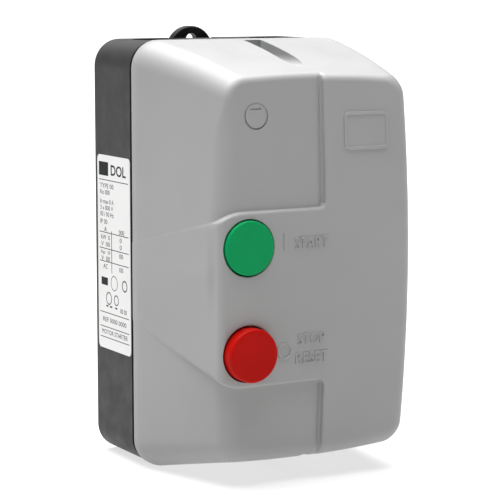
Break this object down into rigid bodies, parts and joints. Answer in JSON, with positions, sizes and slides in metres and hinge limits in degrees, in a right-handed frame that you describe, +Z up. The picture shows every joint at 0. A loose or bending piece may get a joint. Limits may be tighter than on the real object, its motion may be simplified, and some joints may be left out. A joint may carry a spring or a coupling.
{
  "type": "motor protection breaker",
  "caption": "Wall-mounted enclosed motor starter: dark tub, pale domed cover, green start and red stop buttons, contactor and overload relay inside.",
  "frame": {"origin": "centre of the tub's back face, which lies on the wall", "axes": "+Z up along the tub's height, +Y into the wall, front faces -Y, +X to the right as seen from the front"},
  "size_m": [0.1068, 0.1062, 0.1917],
  "materials": {
    "tub_plastic": "fine-textured dark grey moulded plastic",
    "lug_plastic": "black moulded plastic",
    "cover_plastic": "satin light grey moulded plastic",
    "green_plastic": "satin green plastic",
    "red_plastic": "satin red plastic",
    "label_film": "white polyester film with black ruled print",
    "black_rubber": "black rubber",
    "zinc_steel": "zinc-plated steel",
    "spring_steel": "bright spring wire",
    "brass": "plain brass",
    "copper": "copper",
    "magnet_steel": "laminated steel",
    "dark_plastic": "dark moulded plastic",
    "grey_plastic": "mid grey moulded plastic",
    "ivory_plastic": "ivory moulded plastic",
    "blue_plastic": "blue plastic",
    "heater_wire": "resistance metal",
    "wire_insulation": "black wire insulation"
  },
  "bodies": {
    "base": {"base_housing": "tub_plastic", "hanging_lug": "lug_plastic", "lug_screws": "zinc_steel", "cover_gasket": "black_rubber", "screw_inserts": "brass", "rating_label": "label_film", "mounting_rail": "zinc_steel", "rail_screws": "zinc_steel", "earth_bar": "brass", "earth_screws": "zinc_steel", "contactor_base": "dark_plastic", "rail_clip": "dark_plastic", "fixed_core": "magnet_steel", "coil_bobbin": "ivory_plastic", "coil_winding": "copper", "coil_tabs": "brass", "contactor_head": "grey_plastic", "contactor_terminals": "copper", "clamp_nuts": "zinc_steel", "contactor_screws": "zinc_steel", "return_springs": "spring_steel", "start_block": "grey_plastic", "start_straps": "brass", "start_block_screws": "zinc_steel", "start_plunger_spring": "spring_steel", "relay_body": "dark_plastic", "relay_front": "grey_plastic", "relay_pins": "copper", "relay_bimetals": "heater_wire", "relay_windings": "heater_wire", "relay_load_straps": "copper", "relay_load_nuts": "zinc_steel", "relay_load_screws": "zinc_steel", "relay_aux_straps": "brass", "relay_aux_screws": "zinc_steel", "reset_spring": "spring_steel", "control_wires": "wire_insulation"},
    "contactor_armature": {"armature": "magnet_steel", "contact_carrier": "dark_plastic", "moving_bridges": "copper", "bridge_springs": "spring_steel"},
    "start_contact": {"start_plunger": "dark_plastic", "start_bridge": "brass"},
    "relay_slider": {"trip_slider": "dark_plastic"},
    "relay_dial": {"current_dial": "ivory_plastic"},
    "relay_reset": {"reset_button": "blue_plastic"},
    "front_cover": {"cover": "cover_plastic", "cover_screws": "zinc_steel", "screw_rings": "black_rubber", "start_seal": "black_rubber", "stop_seal": "black_rubber", "start_spring": "spring_steel", "stop_spring": "spring_steel"},
    "start_push": {"start_button": "green_plastic", "start_clip": "zinc_steel"},
    "stop_push": {"stop_button": "red_plastic", "stop_clip": "zinc_steel", "stop_rod": "zinc_steel"}
  },
  "joints": [
    {"name": "cover_lift_off", "type": "slide", "parent": "base", "child": "front_cover", "axis": [0, -1, 0], "range_m": [0, 0.12]},
    {"name": "start_button_press", "type": "slide", "parent": "front_cover", "child": "start_push", "axis": [0, 1, 0], "range_m": [0, 0.004], "stiffness_N_per_m": 1500, "springref_m": -0.004, "deforming": ["start_spring"]},
    {"name": "stop_button_press", "type": "slide", "parent": "front_cover", "child": "stop_push", "axis": [0, 1, 0], "range_m": [0, 0.004], "stiffness_N_per_m": 1500, "springref_m": -0.004, "deforming": ["stop_spring"]},
    {"name": "start_plunger_push", "type": "slide", "parent": "base", "child": "start_contact", "axis": [0, 1, 0], "range_m": [0, 0.004], "stiffness_N_per_m": 400, "springref_m": -0.003, "deforming": ["start_plunger_spring"]},
    {"name": "reset_button_push", "type": "slide", "parent": "base", "child": "relay_reset", "axis": [0, 1, 0], "range_m": [0, 0.004], "stiffness_N_per_m": 500, "springref_m": -0.003, "deforming": ["reset_spring"]},
    {"name": "contactor_pull_in", "type": "slide", "parent": "base", "child": "contactor_armature", "axis": [0, 1, 0], "range_m": [0, 0.004], "stiffness_N_per_m": 1200, "springref_m": -0.003, "deforming": ["return_springs"]},
    {"name": "relay_trip_slide", "type": "slide", "parent": "base", "child": "relay_slider", "axis": [1, 0, 0], "range_m": [0, 0.002], "stiffness_N_per_m": 400},
    {"name": "relay_dial_turn", "type": "hinge", "parent": "base", "child": "relay_dial", "pos_m": [-0.011, -0.068, -0.024], "axis": [0, -1, 0], "range_deg": [-135, 135]}
  ],
  "couplings": [
    {"joint": "start_plunger_push", "follows": "start_button_press", "ratio": 1},
    {"joint": "reset_button_push", "follows": "stop_button_press", "ratio": 1}
  ]
}
